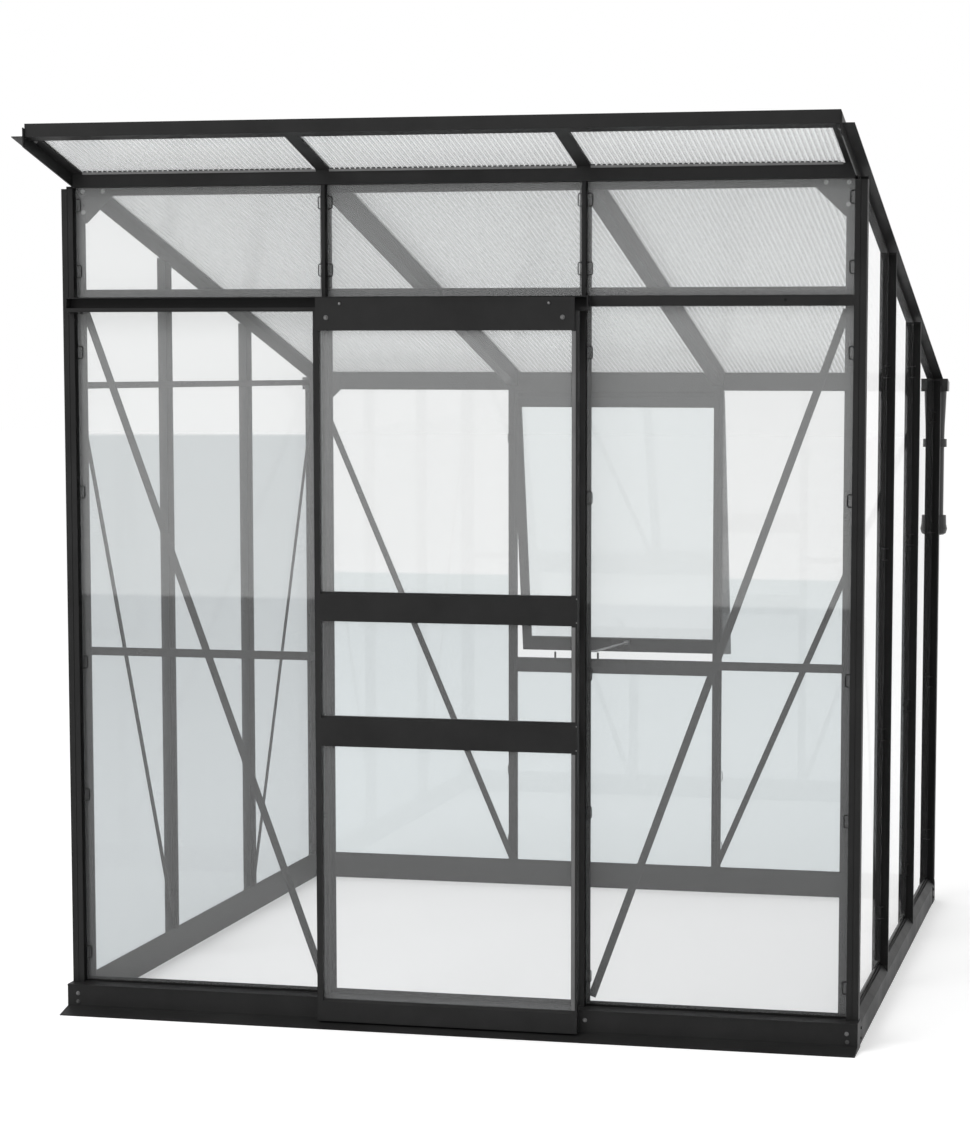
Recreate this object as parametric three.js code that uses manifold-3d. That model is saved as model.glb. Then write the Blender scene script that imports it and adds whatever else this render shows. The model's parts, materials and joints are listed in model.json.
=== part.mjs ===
// Lean-to greenhouse: a glazed frame on base rails, with a sliding door, a top-hung window and a twin-wall roof.
// Millimetres. +X runs along the tall front wall, +Y goes back to the low rear wall, +Z is up.
// Pieces are placed from a point on the ground under the middle of the front wall's outer face.
import * as THREE from 'three';
import { mergeVertices } from 'three/addons/utils/BufferGeometryUtils.js';
import Module from 'manifold-3d';

const wasm = await Module();
wasm.setup();

// Whole building
const wallWidth = 1920;
const wallDepth = 1895;
const barPitch = 622;
const sideBays = 3;
const roofUnderside = 2016;
const slopeShare = 0.251;

// Fits between pieces
const gap = 0.3;
const fuse = 0.4;
const cutOver = 5;

// Glazing bars, measured inward from the outer face of a wall
const skin = 2;
const ribWidth = 9;
const ribDepth = 20;
const glassThickness = 3;
const flangeWidth = 28;
const flangeThickness = 3;
const channelWidth = 14;
const channelDepth = 9.4;
const channelSlot = 6;
const paneEase = 0.5;

// Corner posts
const postSize = 28;
const postGrooveStart = 14;
const postGrooveWidth = 2;
const postGrooveDepth = 1.2;
const frontPostFlange = 22;
const rearPostFlange = 44;

// Base rails
const sillHeight = 66;
const sillLip = 11;
const sillProjection = 30;
const sillNose = 1.2;
const sillNoseHeight = 4;
const skirtReach = 54;
const skirtTop = 13;
const skirtEdge = 1.4;
const baseOverlap = 2.4;
const skirtFoot = 16;
const footWidth = 9;
const sideSillBevel = 16;
const sideSillTread = 14;

// Front wall rails
const headerFace = 34;
const headerFlange = 19;
const topLightHeight = 259;
const transomFace = 24;
const transomFlangeRise = 19;
const transomFlangeDrop = 1;
const midRailBottom = 865;
const midRailWidth = 20;

// Corner plates: reach and depth of the plate, and the flat part of its lower edge
const frontPlateReach = 92;
const frontPlateDrop = 64;
const frontPlateFoot = 25;
const rearPlateReach = 86;
const rearPlateDrop = 38;
const rearPlateFoot = 46;

// Braces and flat rails
const flatThickness = 2.5;
const braceWidth = 18;
const braceTopEdge = 46;
const rearBraceTopEdge = 61;
const braceTopDrop = 54;
const frontBraceTopDrop = 9;
const braceFootRise = 10;
const braceFootSide = 13;
const padLength = 34;
const sideRailDrop = 18;
const sideRailWidth = 16;
const sideRailBlock = 18;

// Rear wall rails and the pegs for the window stay
const eaveFace = 40;
const eaveFlange = 6;
const windowRailFace = 30;
const windowRailFlange = 12;
const pegRadius = 3;
const pegHeight = 20;
const nearPegX = -52;
const pegSpacing = 131;
const pegInset = 17;

// Roof: every height is taken straight up from the underside of the rafters
const roofOverhang = 271;
const eaveOverhang = 23;
const sheetOverhang = 31;
const sheetThickness = 6;
const sheetSkin = 0.8;
const flutePitch = 12.6;
const rafterFlangeWidth = 32;
const rafterWebWidth = 12;
const rafterFinWidth = 26;
const rafterHeight = 22.2;
const beamWidth = 32;
const beamDepth = 40;
const vergeOverhang = 5.7;
const vergeWingTip = 3.1;
const vergeWingDrop = 5.6;
const vergeWebDrop = 29.7;
const vergeWebTop = 14;
const vergeShelf = 24;
const vergeFin = 18;
const ribTopDrop = 17.6;
const sideGlassDrop = 22;
const fasciaDrop = 3.2;
const fasciaLowLip = 28;
const fasciaTopLip = 92;

// Gutter and downpipes
const gutterDrop = 47;
const gutterEnd = 18;
const gutterFloorWidth = 52;
const gutterFlare = 6;
const gutterFrontHeight = 26;
const gutterBackHeight = 37;
const gutterLip = 6;
const outletInset = 19;
const outletRadius = 14;
const spoutLength = 22;
const pipeOut = 39;
const pipeSides = 28;
const pipeWall = 2;
const pipeRadius = 26;
const pipeLength = 417;
const pipeShares = [
  { radiusShare: 1.192, dropShare: 0 },
  { radiusShare: 1.135, dropShare: 0.096 },
  { radiusShare: 1.038, dropShare: 0.228 },
  { radiusShare: 1, dropShare: 0.329 },
  { radiusShare: 1.269, dropShare: 0.331 },
  { radiusShare: 1.288, dropShare: 0.386 },
  { radiusShare: 1, dropShare: 0.388 },
  { radiusShare: 1, dropShare: 0.861 },
  { radiusShare: 1.308, dropShare: 0.863 },
  { radiusShare: 1.346, dropShare: 0.926 },
  { radiusShare: 1.462, dropShare: 0.959 },
  { radiusShare: 1.308, dropShare: 0.99 },
  { radiusShare: 1.038, dropShare: 1 },
];

// Sliding door and its track
const trackStart = 18;
const trackOverrun = 17;
const trackDrop = 11;
const trackHeight = 34;
const trackDepth = 30;
const trackSkin = 2.5;
const trackFrontLip = 9;
const trackBeadWidth = 2.4;
const trackBeadHeight = 1.2;
const trackStop = 3;
const doorOverlap = 9;
const doorEndOverlap = 1;
const doorClearance = 4;
const doorDepth = 21;
const doorFloorGap = 14;
const doorStile = 14;
const doorBottomRail = 53;
const doorLowerRailBottom = 672;
const doorLowerRail = 71;
const doorUpperRailBottom = 967;
const doorUpperRail = 69;
const doorTopRail = 44;
const doorRailBevel = 6;
const paneSetback = 8;
const grooveDepth = 6;
const grooveEase = 0.4;
const hangerEdge = 7;
const hangerBottomDrop = 45;
const hangerHeight = 76;
const hangerThickness = 3;
const rollerInset = 66;
const rollerWidth = 8;
const rollerBackSpace = 9;
const rollerGroove = 2;
const axleRadius = 3;
const axleShoulder = 6;
const axleHead = 5.4;
const axleHeadThickness = 2;
const axleEase = 0.4;

// Top-hung window and its stay
const sashOverlap = 11.5;
const sashLength = 798;
const sashFootLap = 4.7;
const sashThickness = 14;
const sashStile = 27;
const sashTopRail = 30;
const sashBottomRail = 41;
const sashTopDrop = 11;
const hingeOut = 10;
const hookThickness = 2.5;
const hookSpace = 2;
const beadRadius = 4;
const beadEase = 0.6;
const neckThickness = 2.6;
const hookStartDegrees = -35;
const hookEndDegrees = 205;
const arcSteps = 12;
const sashOpenDegrees = 10.6;
const stayX = 5;
const stayRise = 32;
const stayOut = 11;
const stayWidth = 13;
const stayThickness = 3;
const stayClearance = 4.5;
const stayTail = 26;
const stayBend = 14;
const stayHoleRadius = 3.8;
const stayHolePitch = 34;
const stayHoles = 3;
const knuckleRadius = 6;
const knuckleHole = 3.4;
const lugThickness = 3;
const lugRadius = 6;

// Sizes that follow from those above
const halfWidth = wallWidth / 2;
const barX = barPitch / 2;
const sidePitch = wallDepth / sideBays;
const halfRib = ribWidth / 2;
const halfFlange = flangeWidth / 2;
const halfChannel = channelWidth / 2;
const glassFront = ribDepth + gap;
const glassBack = glassFront + glassThickness;
const seat = glassBack + gap;
const flangeInner = seat + flangeThickness;
const channelInner = flangeInner + channelDepth;
const lapOuter = flangeInner + gap;
const lapInner = lapOuter + flatThickness;
const betweenPosts = halfWidth - postSize - gap;
const roofAt = (y, rise = 0) => roofUnderside + rise - slopeShare * y;
const eaveHeight = roofAt(wallDepth);
const headerBottom = roofUnderside - headerFace;
const headerFlangeBottom = headerBottom - headerFlange;
const transomTop = headerBottom - topLightHeight;
const transomBottom = transomTop - transomFace;
const eaveBottom = eaveHeight - eaveFace;
const eaveFlangeBottom = eaveBottom - eaveFlange;
const shelfTop = flangeThickness;
const sheetBottom = shelfTop + gap;
const finBottom = sheetBottom + sheetThickness + gap;
const finTop = finBottom + skin;
const gutterBottom = eaveHeight - gutterDrop;
const outletX = halfWidth - outletInset;
const hookRadius = beadRadius + beadEase;
const hingeY = wallDepth + hingeOut;
const hingeZ = gutterBottom - hookSpace - hookThickness - hookRadius;
const hookTop = hingeZ + hookRadius + hookThickness;
const windowRailTop = hingeZ - sashLength + sashFootLap;
const windowRailBottom = windowRailTop - windowRailFace;
const sashHalfWidth = barX + sashOverlap;
const trackLeft = trackStart - halfWidth;
const trackRight = barX + trackOverrun;
const trackBottom = transomBottom - trackDrop;
const trackFloor = trackBottom + trackSkin;
const trackTop = trackBottom + trackHeight;
const trackFront = -gap - trackDepth;
const doorBack = trackFront - doorClearance;
const doorFront = doorBack - doorDepth;
const doorLeft = -barX - doorOverlap;
const doorRight = barX - doorEndOverlap;
const rollerRadius = (trackTop - trackSkin - trackFloor) / 2 - gap;
const rollerZ = trackFloor + gap + rollerRadius;
const rollerY = -gap - trackSkin - rollerBackSpace - rollerWidth / 2;

// Surfaces
const coating = { name: 'black_coating', color: 0x2a2a2a, metalness: 0.2, roughness: 0.55 };
const steel = { name: 'dark_steel', color: 0x3a3a3a, metalness: 0.6, roughness: 0.4 };
const plastic = { name: 'black_plastic', color: 0x1d1d1d, metalness: 0, roughness: 0.5 };
const nylon = { name: 'nylon', color: 0x8c8c88, metalness: 0, roughness: 0.45 };
const glass = { name: 'glass', color: 0xdfe6e6, metalness: 0, roughness: 0.05, opacity: 0.35, transparent: true };
const twinWall = { name: 'twin_wall', color: 0xe4e9ea, metalness: 0, roughness: 0.3, opacity: 0.6, transparent: true };

const greenhouse = new THREE.Group();
greenhouse.name = 'lean_to_greenhouse';

// Solids
function toSolid(geometry) {
  const bare = geometry.clone();
  bare.deleteAttribute('normal');
  bare.deleteAttribute('uv');
  const welded = mergeVertices(bare);
  return new wasm.Manifold(new wasm.Mesh({
    numProp: 3,
    vertProperties: Float32Array.from(welded.attributes.position.array),
    triVerts: Uint32Array.from(welded.index.array),
  }));
}

function toGeometry(solid) {
  const mesh = solid.getMesh();
  const points = new Float32Array(mesh.numVert * 3);
  for (let i = 0; i < mesh.numVert; i += 1) {
    for (let k = 0; k < 3; k += 1) {
      points[i * 3 + k] = mesh.vertProperties[i * mesh.numProp + k];
    }
  }
  const geometry = new THREE.BufferGeometry();
  geometry.setAttribute('position', new THREE.BufferAttribute(points, 3));
  geometry.setIndex(new THREE.BufferAttribute(Uint32Array.from(mesh.triVerts), 1));
  return geometry;
}

function flipFaces(geometry) {
  const position = geometry.attributes.position;
  for (let i = 0; i < position.count; i += 3) {
    const first = [position.getX(i), position.getY(i), position.getZ(i)];
    position.setXYZ(i, position.getX(i + 1), position.getY(i + 1), position.getZ(i + 1));
    position.setXYZ(i + 1, ...first);
  }
}

function wound(outline, clockwise) {
  const points = outline.map(([a, b]) => new THREE.Vector2(a, b));
  return THREE.ShapeUtils.isClockWise(points) === clockwise ? points : points.reverse();
}

// An outline in the first two named axes, drawn out along the third.
function prism(axes, outline, from, to, holes = []) {
  const shape = new THREE.Shape(wound(outline, false));
  shape.holes = holes.map((hole) => new THREE.Path(wound(hole, true)));
  const start = Math.min(from, to);
  const geometry = new THREE.ExtrudeGeometry(shape, { depth: Math.abs(to - from), bevelEnabled: false });
  const position = geometry.attributes.position;
  const slots = [...axes].map((axis) => 'xyz'.indexOf(axis));
  for (let i = 0; i < position.count; i += 1) {
    const drawn = [position.getX(i), position.getY(i), position.getZ(i) + start];
    const placed = [0, 0, 0];
    slots.forEach((slot, k) => {
      placed[slot] = drawn[k];
    });
    position.setXYZ(i, ...placed);
  }
  if (!['xyz', 'yzx', 'zxy'].includes(axes)) {
    flipFaces(geometry);
  }
  return toSolid(geometry);
}

// A profile of radius and height, going up its outside, turned about the vertical axis, or about Y when lying is true.
function turning(profile, lying = false) {
  const points = [...profile, profile[0]].map(([radius, height]) => new THREE.Vector2(radius, height));
  const geometry = new THREE.LatheGeometry(points, pipeSides);
  if (!lying) {
    geometry.rotateX(Math.PI / 2);
  }
  return toSolid(geometry);
}

const rectangle = (a0, b0, a1, b1) => [[a0, b0], [a1, b0], [a1, b1], [a0, b1]];

const shrunk = (a0, b0, a1, b1, wall) => rectangle(a0 + wall, b0 + wall, a1 - wall, b1 - wall);

function block(x0, y0, z0, x1, y1, z1) {
  return prism('xyz', rectangle(x0, y0, x1, y1), z0, z1);
}

function union(...solids) {
  return solids.reduce((whole, solid) => whole.add(solid));
}

function circle(a, b, radius) {
  return Array.from({ length: pipeSides }, (_, i) => {
    const angle = (i * 2 * Math.PI) / pipeSides;
    return [a + radius * Math.cos(angle), b + radius * Math.sin(angle)];
  });
}

function arc(a, b, radius, startDegrees, endDegrees) {
  return Array.from({ length: arcSteps + 1 }, (_, i) => {
    const angle = THREE.MathUtils.degToRad(startDegrees + ((endDegrees - startDegrees) * i) / arcSteps);
    return [a + radius * Math.cos(angle), b + radius * Math.sin(angle)];
  });
}

function add(name, solid, surface, parent = greenhouse, placing = new THREE.Matrix4()) {
  const geometry = toGeometry(solid).applyMatrix4(placing).toNonIndexed();
  geometry.computeVertexNormals();
  const mesh = new THREE.Mesh(geometry, new THREE.MeshStandardMaterial(surface));
  mesh.name = name;
  parent.add(mesh);
  return mesh;
}

// Walls: u runs along the wall, v goes inward from its outer face, z is up.
const walls = {
  front: { place: (u, v) => [u, v], side: false },
  rear: { place: (u, v) => [u, wallDepth - v], side: false },
  left: { place: (u, v) => [v - halfWidth, u], side: true },
  right: { place: (u, v) => [halfWidth - v, u], side: true },
};

const inwardAxis = (wall) => (wall.side ? 0 : 1);

// A cross-section in u and v, standing between two heights.
function upright(wall, section, low, high, holes = []) {
  const placed = (points) => points.map(([u, v]) => wall.place(u, v));
  return prism('xyz', placed(section), low, high, holes.map(placed));
}

// A cross-section in v and z, running along the wall.
function lengthwise(wall, section, from, to, holes = []) {
  const placed = (points) => points.map(([v, z]) => [wall.place(0, v)[inwardAxis(wall)], z]);
  return prism(wall.side ? 'xzy' : 'yzx', placed(section), from, to, holes.map(placed));
}

// An outline in u and z, between two depths.
function panel(wall, outline, outer, inner, holes = []) {
  const depths = [outer, inner].map((v) => wall.place(0, v)[inwardAxis(wall)]);
  return prism(wall.side ? 'yzx' : 'xzy', outline, ...depths, holes);
}

// Glazing bar: a hollow rib beside the glass, a flange behind it and a bolt channel open to the inside.
function glazingBar(wall, u, foot, ribTop, innerTop) {
  const halfSlot = channelSlot / 2;
  const rightHalf = [
    [halfRib, seat - fuse],
    [halfRib, seat],
    [halfFlange, seat],
    [halfFlange, flangeInner],
    [halfChannel, flangeInner],
    [halfChannel, channelInner],
    [halfSlot, channelInner],
    [halfSlot, channelInner - skin],
    [halfChannel - skin, channelInner - skin],
    [halfChannel - skin, flangeInner],
  ];
  const leftHalf = rightHalf.map(([a, v]) => [-a, v]).reverse();
  const inner = [...rightHalf, ...leftHalf].map(([a, v]) => [u + a, v]);
  const rib = rectangle(u - halfRib, 0, u + halfRib, seat);
  const bore = shrunk(u - halfRib, 0, u + halfRib, seat, skin);
  return union(
    upright(wall, rib, foot, ribTop, [bore]),
    upright(wall, inner, sillHeight + sillLip + gap, innerTop),
  );
}

// A flat bar between two points of a wall. Its ends are thickened outward to reach padOuter.
function flatBar(wall, from, to, outer, padOuter) {
  const start = new THREE.Vector2(...from);
  const end = new THREE.Vector2(...to);
  const along = end.clone().sub(start).normalize();
  const across = new THREE.Vector2(-along.y, along.x).multiplyScalar(braceWidth / 2);
  const strip = (p, q) => [
    p.clone().add(across),
    q.clone().add(across),
    q.clone().sub(across),
    p.clone().sub(across),
  ].map((point) => [point.x, point.y]);
  const inner = outer + flatThickness;
  const body = panel(wall, strip(start, end), outer, inner);
  if (padOuter >= outer) {
    return body;
  }
  const startPad = strip(start, start.clone().addScaledVector(along, padLength));
  const endPad = strip(end.clone().addScaledVector(along, -padLength), end);
  return union(body, panel(wall, startPad, padOuter, inner), panel(wall, endPad, padOuter, inner));
}

// Base rails: thin folded sections, open underneath between their feet
const plainTread = [
  [0, sillHeight - sideSillBevel],
  [sideSillTread, sillHeight],
  [flangeInner, sillHeight],
];

function baseSection(face) {
  const shifted = face.map(([v, z], i) => {
    const last = i === face.length - 1;
    return [last ? v - skin : v + skin, z - skin];
  });
  const outerWall = face[0][0];
  return [
    [outerWall, 0],
    ...face,
    [flangeInner, 0],
    [flangeInner - footWidth, 0],
    [flangeInner - footWidth, skin],
    [flangeInner - skin, skin],
    ...shifted.reverse(),
    [outerWall + skin, skin],
    [outerWall + footWidth, skin],
    [outerWall + footWidth, 0],
  ];
}

function addBases() {
  const lip = rectangle(seat, sillHeight - fuse, flangeInner, sillHeight + sillLip);
  const skirtTip = -sillProjection - skirtReach;
  const noseFace = -sillProjection - sillNose;
  const face = [
    [skirtTip, 0],
    [skirtTip, skirtEdge],
    [-sillProjection, skirtTop],
    [-sillProjection, sillHeight - sillNoseHeight],
    [noseFace, sillHeight - sillNoseHeight],
    [noseFace, sillHeight],
    [flangeInner, sillHeight],
    [flangeInner, 0],
  ];
  const underside = [
    [flangeInner - footWidth, 0],
    [flangeInner - footWidth, skin],
    [flangeInner - skin, skin],
    [flangeInner - skin, sillHeight - skin],
    [skin - sillProjection, sillHeight - skin],
    [skin - sillProjection, skin],
    [footWidth - sillProjection, skin],
    [footWidth - sillProjection, 0],
    [-sillProjection, 0],
    [-sillProjection, skirtTop - skin],
    [skirtTip + skirtFoot, 0],
  ];
  const half = halfWidth + baseOverlap;
  const ends = [-1, 1].map((hand) => (
    lengthwise(walls.front, face, hand * (half - baseOverlap), hand * half)
  ));
  add('base_front', union(
    lengthwise(walls.front, [...face, ...underside], baseOverlap - half, half - baseOverlap),
    lengthwise(walls.front, lip, -betweenPosts, betweenPosts),
    ...ends,
  ), coating);
  add('base_rear', union(
    lengthwise(walls.rear, baseSection(plainTread), -halfWidth, halfWidth),
    lengthwise(walls.rear, lip, -betweenPosts, betweenPosts),
  ), coating);
  for (const side of ['left', 'right']) {
    const start = flangeInner + gap;
    const lipStart = postSize + gap;
    add(`base_${side}`, union(
      lengthwise(walls[side], baseSection(plainTread), start, wallDepth - start),
      lengthwise(walls[side], lip, lipStart, wallDepth - lipStart),
    ), coating);
  }
}

// Corner posts: a grooved square tube with a glazing flange along each of its two walls
function addPosts() {
  for (const side of ['left', 'right']) {
    for (const end of ['front', 'rear']) {
      const hand = side === 'left' ? 1 : -1;
      const inwardY = end === 'front' ? 1 : -1;
      const originY = end === 'front' ? 0 : wallDepth;
      const at = (a, b) => [hand * (a - halfWidth), originY + inwardY * b];
      const corners = (a0, b0, a1, b1) => [at(a0, b0), at(a1, b0), at(a1, b1), at(a0, b1)];
      const flange = end === 'front' ? frontPostFlange : rearPostFlange;
      const edge = postSize + flange;
      const grooveEnd = postGrooveStart + postGrooveWidth;
      const outline = [
        [0, 0],
        [postGrooveStart, 0],
        [postGrooveStart, postGrooveDepth],
        [grooveEnd, postGrooveDepth],
        [grooveEnd, 0],
        [postSize, 0],
        [postSize, postSize],
        [0, postSize],
        [0, grooveEnd],
        [postGrooveDepth, grooveEnd],
        [postGrooveDepth, postGrooveStart],
        [0, postGrooveStart],
      ].map(([a, b]) => at(a, b));
      const bore = corners(skin + postGrooveDepth, skin + postGrooveDepth, postSize - skin, postSize - skin);
      const rearmost = Math.max(originY, originY + inwardY * postSize);
      const flangeRearmost = Math.max(originY, originY + inwardY * edge);
      const foot = sillHeight + sillLip + gap;
      const below = -vergeWebDrop - gap;
      const railBottom = end === 'front' ? headerFlangeBottom : eaveFlangeBottom;
      add(`post_${end}_${side}`, union(
        prism('xyz', outline, sillHeight + gap, roofAt(rearmost, below), [bore]),
        prism('xyz', corners(postSize - fuse, seat, edge, flangeInner), foot, railBottom - gap),
        prism('xyz', corners(seat, postSize - fuse, flangeInner, edge), foot, roofAt(flangeRearmost, below)),
      ), coating);
    }
  }
}

// A bevelled plate that stiffens the corner between a post and the rail above it
function cornerPlate(wall, hand, reach, drop, foot, railBottom, y) {
  const outer = hand * betweenPosts;
  const inner = hand * (betweenPosts - reach);
  const toe = hand * (betweenPosts - foot);
  const low = railBottom - drop;
  const top = roofAt(y, -gap - gap);
  const plate = panel(wall, [[outer, low], [outer, top], [inner, top], [inner, railBottom], [toe, low]], lapOuter, lapInner);
  const bond = [[outer, railBottom], [outer, top], [inner, top], [inner, railBottom]];
  return union(plate, panel(wall, bond, flangeInner - fuse, lapInner));
}

// A rail that closes the top of a wall under the raked roof
function headRail(wall, bottom, flangeBottom, y) {
  const rake = (v) => roofAt(y(v), -gap);
  const section = [
    [0, bottom],
    [seat, bottom],
    [seat, flangeBottom],
    [flangeInner, flangeBottom],
    [flangeInner, rake(flangeInner)],
    [0, rake(0)],
  ];
  const hollow = [
    [skin, bottom + skin],
    [seat - skin, bottom + skin],
    [seat - skin, rake(seat - skin) - skin],
    [skin, rake(skin) - skin],
  ];
  return lengthwise(wall, section, -betweenPosts, betweenPosts, [hollow]);
}

// Front wall: header, mullions let into the transom rail, middle rails with their braces
function addFrontWall() {
  const wall = walls.front;
  const plates = [-1, 1].map((hand) => cornerPlate(
    wall, hand, frontPlateReach, frontPlateDrop, frontPlateFoot, headerFlangeBottom, lapInner,
  ));
  add('header', union(headRail(wall, headerBottom, headerFlangeBottom, (v) => v), ...plates), coating);

  const flangeTop = transomTop + transomFlangeRise;
  const flangeBottom = transomBottom - transomFlangeDrop;
  for (const [name, u] of [['mullion_left', -barX], ['mullion_right', barX]]) {
    const wide = halfFlange + cutOver;
    const bar = glazingBar(wall, u, sillHeight + gap, headerBottom - gap, headerFlangeBottom - gap);
    const ribNotch = block(u - wide, -cutOver, transomBottom - gap, u + wide, seat + fuse, transomTop + gap);
    const flangeNotch = block(u - wide, seat - gap, flangeBottom - gap, u + wide, flangeInner + gap, flangeTop + gap);
    add(name, bar.subtract(ribNotch).subtract(flangeNotch), coating);
  }
  const face = rectangle(0, transomBottom, seat, transomTop);
  const bore = shrunk(0, transomBottom, seat, transomTop, skin);
  const flange = rectangle(seat - fuse, flangeBottom, flangeInner, flangeTop);
  const flangeHalf = betweenPosts - frontPostFlange;
  const upperFlange = lengthwise(wall, flange, -flangeHalf, flangeHalf)
    .subtract(block(-flangeHalf, 0, flangeBottom - cutOver, flangeHalf, seat, transomBottom))
    .subtract(block(-flangeHalf, 0, transomTop, flangeHalf, seat, flangeTop + cutOver));
  add('transom_rail', union(
    lengthwise(wall, face, -betweenPosts, betweenPosts, [bore]),
    upperFlange,
  ), coating);

  for (const [name, hand] of [['brace_front_left', -1], ['brace_front_right', 1]]) {
    const outer = hand * betweenPosts;
    const inner = hand * (barX + halfChannel + gap);
    const rail = rectangle(outer, midRailBottom, inner, midRailBottom + midRailWidth);
    const top = [hand * (halfWidth - braceTopEdge), transomBottom - frontBraceTopDrop];
    const foot = [hand * (barX + halfRib + braceFootSide), sillHeight + sillLip + braceFootRise];
    add(name, union(
      panel(wall, rail, lapOuter, lapInner),
      flatBar(wall, top, foot, lapInner - fuse, lapOuter),
    ), coating);
  }
}

// A glazing bar whose foot is cut to the bevelled sill and carries the foot of a brace
function bracedBar(wall, u, top, ribTop, innerTop) {
  const slopeLine = plainTread.map(([v, z]) => [v, z + gap]);
  const bevelShare = sideSillBevel / sideSillTread;
  const below = [
    [-cutOver, sillHeight - sideSillBevel + gap - cutOver * bevelShare],
    ...slopeLine.slice(1),
    [flangeInner, 0],
    [-cutOver, 0],
  ];
  const sill = lengthwise(wall, below, u - ribWidth, u + ribWidth);
  const towards = Math.sign(top[0] - u);
  const foot = [u + towards * (halfChannel - skin / 2), sillHeight + sillLip + braceFootRise];
  return union(
    glazingBar(wall, u, 0, ribTop, innerTop).subtract(sill),
    flatBar(wall, top, foot, lapOuter, lapOuter),
  );
}

// The space above a line parallel to the roof, between two values of x
function aboveRoof(rise, x0, x1) {
  const front = -postSize;
  const back = wallDepth + postSize;
  const ceiling = roofUnderside + roofUnderside;
  const outline = [[front, roofAt(front, rise)], [back, roofAt(back, rise)], [back, ceiling], [front, ceiling]];
  return prism('yzx', outline, x0, x1);
}

// Side walls: two bars each with its brace, and a flat rail at the height of the eaves
function addSideWalls() {
  const railTop = eaveHeight - sideRailDrop;
  const railBottom = railTop - sideRailWidth;
  const railOuter = channelInner + gap;
  const railInner = railOuter + flatThickness;
  const railStart = lapInner + gap;
  for (const side of ['left', 'right']) {
    const wall = walls[side];
    const x = (v) => wall.place(0, v)[0];
    for (const [name, u, topU] of [
      [`bar_${side}_front`, sidePitch, braceTopEdge],
      [`bar_${side}_rear`, wallDepth - sidePitch, wallDepth - braceTopEdge],
    ]) {
      const bar = bracedBar(wall, u, [topU, eaveFlangeBottom - braceTopDrop], roofUnderside, roofUnderside)
        .subtract(aboveRoof(-ribTopDrop, x(-cutOver), x(channelInner + cutOver)))
        .subtract(aboveRoof(-vergeWebDrop - gap, x(ribDepth), x(channelInner + cutOver)));
      add(name, bar, coating);
    }
    const length = wallDepth - railStart;
    add(`side_rail_${side}`, union(
      panel(wall, rectangle(railStart, railBottom, length, railTop), railOuter, railInner),
      panel(wall, rectangle(railStart, railBottom, railStart + sideRailBlock, railTop), lapOuter, railInner),
      panel(wall, rectangle(length - sideRailBlock, railBottom, length, railTop), lapOuter, railInner),
    ), coating);
  }
}

// Rear wall: eaves rail with the hinge hook of the window, two braced bars and the rail under the window
function addRearWall() {
  const wall = walls.rear;
  const plates = [-1, 1].map((hand) => cornerPlate(
    wall, hand, rearPlateReach, rearPlateDrop, rearPlateFoot, eaveFlangeBottom, wallDepth - flangeInner,
  ));
  const outerArc = arc(-hingeOut, hingeZ, hookRadius + hookThickness, hookStartDegrees, hookEndDegrees);
  const innerArc = arc(-hingeOut, hingeZ, hookRadius, hookStartDegrees, hookEndDegrees);
  const hook = [...outerArc, ...innerArc.reverse()];
  const link = rectangle(-hingeOut, hookTop - hookThickness, hookThickness, hookTop);
  const hanger = rectangle(0, hookTop - hookThickness, hookThickness, eaveBottom + fuse);
  const hookPiece = (section) => lengthwise(wall, section, -sashHalfWidth, sashHalfWidth);
  add('eaves_rail', union(
    headRail(wall, eaveBottom, eaveFlangeBottom, (v) => wallDepth - v),
    ...plates,
    hookPiece(hook),
    hookPiece(link),
    hookPiece(hanger),
  ), coating);

  for (const [name, hand] of [['bar_rear_left', -1], ['bar_rear_right', 1]]) {
    const top = [hand * (halfWidth - rearBraceTopEdge), eaveFlangeBottom - braceTopDrop];
    const ribTop = hookTop - hookThickness - gap;
    add(name, bracedBar(wall, hand * barX, top, ribTop, eaveFlangeBottom - gap), coating);
  }

  const boxHalf = barX - halfRib - gap;
  const flangeHalf = barX - halfFlange - gap;
  const face = rectangle(0, windowRailBottom, seat, windowRailTop);
  const bore = shrunk(0, windowRailBottom, seat, windowRailTop, skin);
  const flange = rectangle(seat - fuse, windowRailBottom - windowRailFlange, flangeInner, windowRailTop);
  const pegs = [nearPegX, nearPegX - pegSpacing].map((x) => (
    prism('xyz', circle(x, wallDepth - pegInset, pegRadius), windowRailTop - fuse, windowRailTop + pegHeight)
  ));
  add('window_rail', union(
    lengthwise(wall, face, -boxHalf, boxHalf, [bore]),
    lengthwise(wall, flange, -flangeHalf, flangeHalf).subtract(
      block(-flangeHalf, wallDepth - seat, 0, flangeHalf, wallDepth, windowRailBottom),
    ),
    ...pegs,
  ), coating);
}

// Roof pieces are drawn level, with heights from the rafters' underside, and then raked.
const rake = new THREE.Matrix4().makeShear(0, 0, 0, -slopeShare, 0, 0).setPosition(0, 0, roofUnderside);

function alongRoof(section, from, to, holes = []) {
  return prism('xzy', section, from, to, holes);
}

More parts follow.
